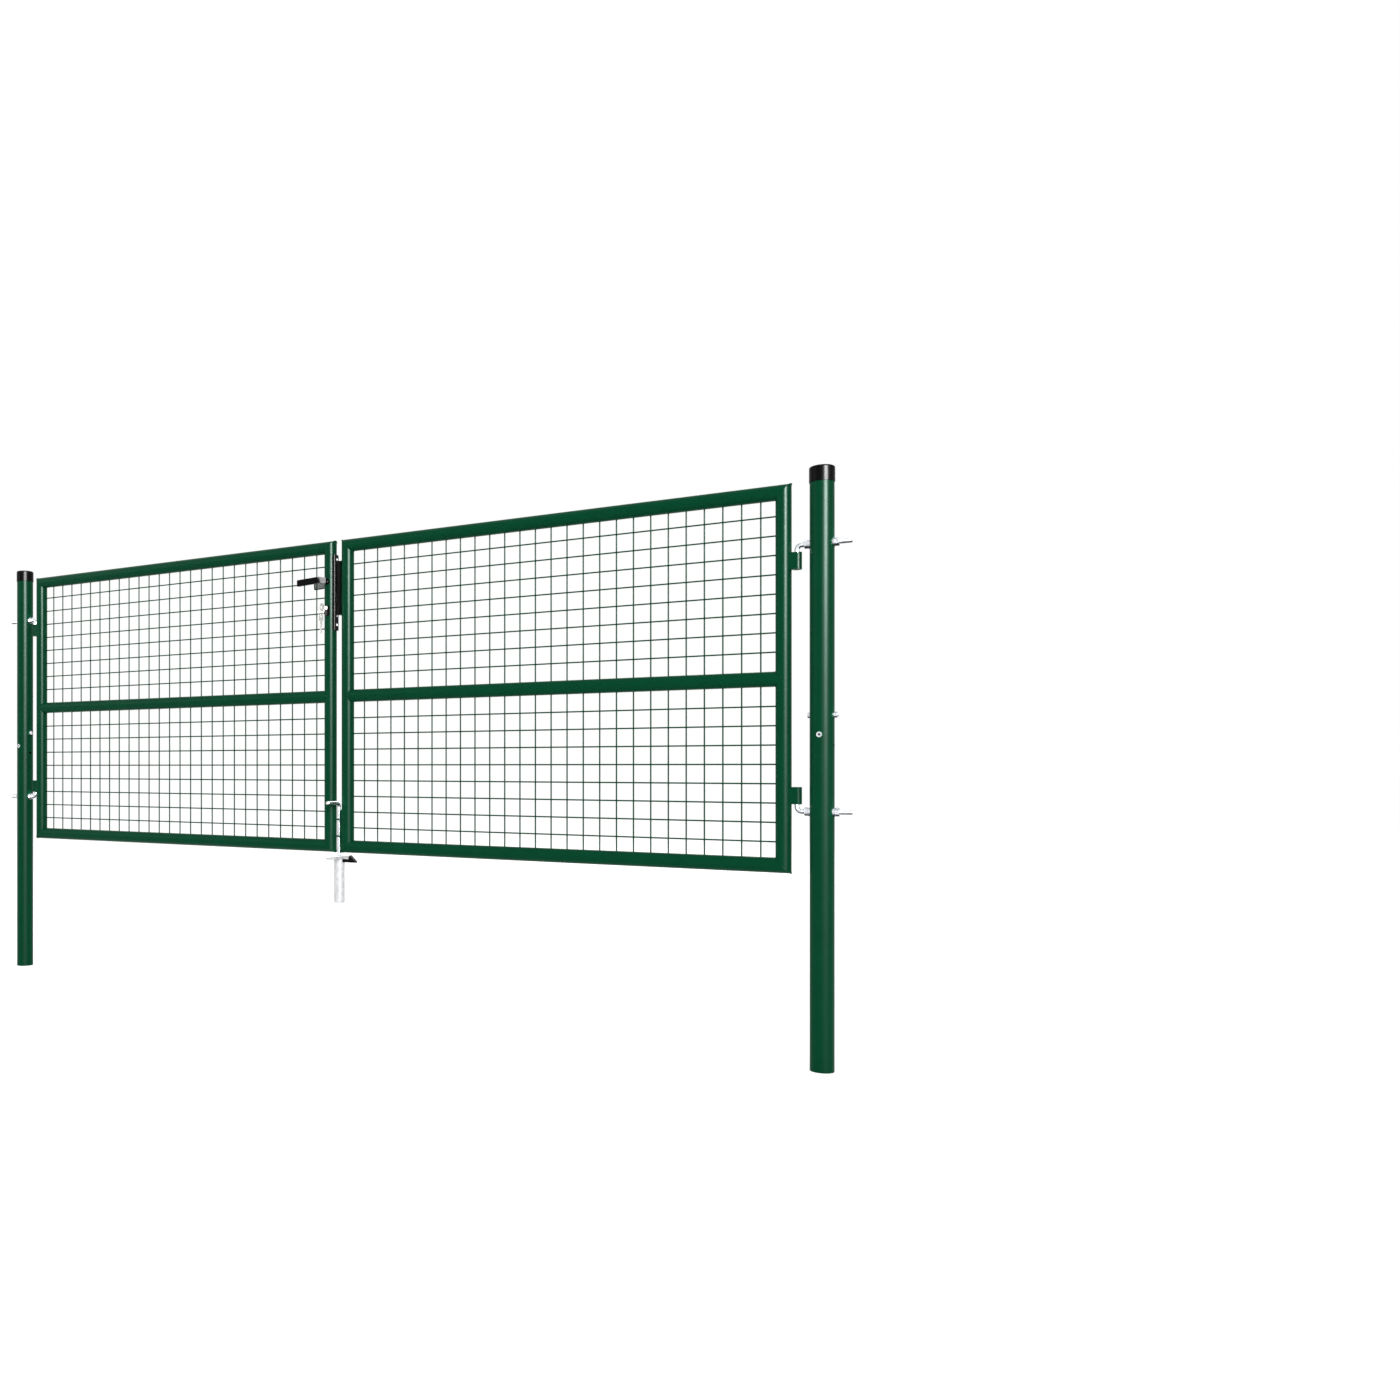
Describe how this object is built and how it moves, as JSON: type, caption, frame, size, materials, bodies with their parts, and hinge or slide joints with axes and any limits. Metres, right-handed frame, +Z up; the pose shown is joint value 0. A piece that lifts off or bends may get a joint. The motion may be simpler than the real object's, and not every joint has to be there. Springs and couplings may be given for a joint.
{
  "type": "mesh swing gate",
  "caption": "Double-leaf garden swing gate: round posts with caps, tube-framed leaves filled with welded mesh, hook-bolt hinges, a lever lock and a drop bolt with its ground sleeve.",
  "frame": {"origin": "middle of the left post's bottom end", "axes": "+X along the closed gate from the left post to the right post, +Y through the gate away from the side the key is on, +Z up"},
  "size_m": [3.148, 0.122, 1.528],
  "materials": {
    "powder_coated_green": "satin",
    "black_plastic": "gloss",
    "black_coated_steel": "satin",
    "zinc_plated_steel": "satin",
    "galvanised_steel": "satin",
    "nickel_plated_brass": "polished"
  },
  "bodies": {
    "posts": {"left_post": "powder_coated_green", "right_post": "powder_coated_green", "left_post_cap": "black_plastic", "right_post_cap": "black_plastic", "left_upper_hook_bolt": "zinc_plated_steel", "left_lower_hook_bolt": "zinc_plated_steel", "right_upper_hook_bolt": "zinc_plated_steel", "right_lower_hook_bolt": "zinc_plated_steel", "left_hinge_nuts": "zinc_plated_steel", "right_hinge_nuts": "zinc_plated_steel", "left_cross_bolt": "zinc_plated_steel", "right_cross_bolt": "zinc_plated_steel", "left_insert": "zinc_plated_steel", "right_insert": "zinc_plated_steel", "ground_sleeve": "galvanised_steel", "sleeve_catch": "black_coated_steel"},
    "left_leaf": {"left_hinge_stile": "powder_coated_green", "left_lock_stile": "powder_coated_green", "left_top_rail": "powder_coated_green", "left_bottom_rail": "powder_coated_green", "left_middle_rail": "powder_coated_green", "left_mesh_upper": "powder_coated_green", "left_mesh_lower": "powder_coated_green", "left_upper_eye": "powder_coated_green", "left_lower_eye": "powder_coated_green", "lock_case": "black_coated_steel", "lock_forend": "black_coated_steel", "latch_tongue": "zinc_plated_steel", "dead_bolt": "zinc_plated_steel", "lock_cylinder": "nickel_plated_brass", "front_roses": "black_coated_steel", "rear_roses": "black_coated_steel", "key": "nickel_plated_brass", "key_ring": "nickel_plated_brass", "spare_key": "nickel_plated_brass"},
    "right_leaf": {"right_hinge_stile": "powder_coated_green", "right_meeting_stile": "powder_coated_green", "right_top_rail": "powder_coated_green", "right_bottom_rail": "powder_coated_green", "right_middle_rail": "powder_coated_green", "right_mesh_upper": "powder_coated_green", "right_mesh_lower": "powder_coated_green", "right_upper_eye": "powder_coated_green", "right_lower_eye": "powder_coated_green", "strike": "black_coated_steel", "drop_bolt_bracket": "powder_coated_green"},
    "handle": {"front_lever": "black_plastic", "rear_lever": "black_plastic", "lever_spindle": "zinc_plated_steel"},
    "drop_bolt": {"drop_bolt": "zinc_plated_steel"}
  },
  "joints": [
    {"name": "left_leaf_swing", "type": "hinge", "parent": "posts", "child": "left_leaf", "pos_m": [0.062, 0, 0.995], "axis": [0, 0, 1], "range_deg": [-90, 90]},
    {"name": "right_leaf_swing", "type": "hinge", "parent": "posts", "child": "right_leaf", "pos_m": [2.938, 0, 0.995], "axis": [0, 0, -1], "range_deg": [-90, 90]},
    {"name": "handle_turn", "type": "hinge", "parent": "left_leaf", "child": "handle", "pos_m": [1.466, 0, 1.363], "axis": [0, -1, 0], "range_deg": [0, 40], "stiffness_Nm_per_rad": 1, "springref_deg": -28.65},
    {"name": "drop_bolt_slide", "type": "slide", "parent": "right_leaf", "child": "drop_bolt", "axis": [0, 0, 1], "range_m": [-0.03, 0.05]}
  ]
}
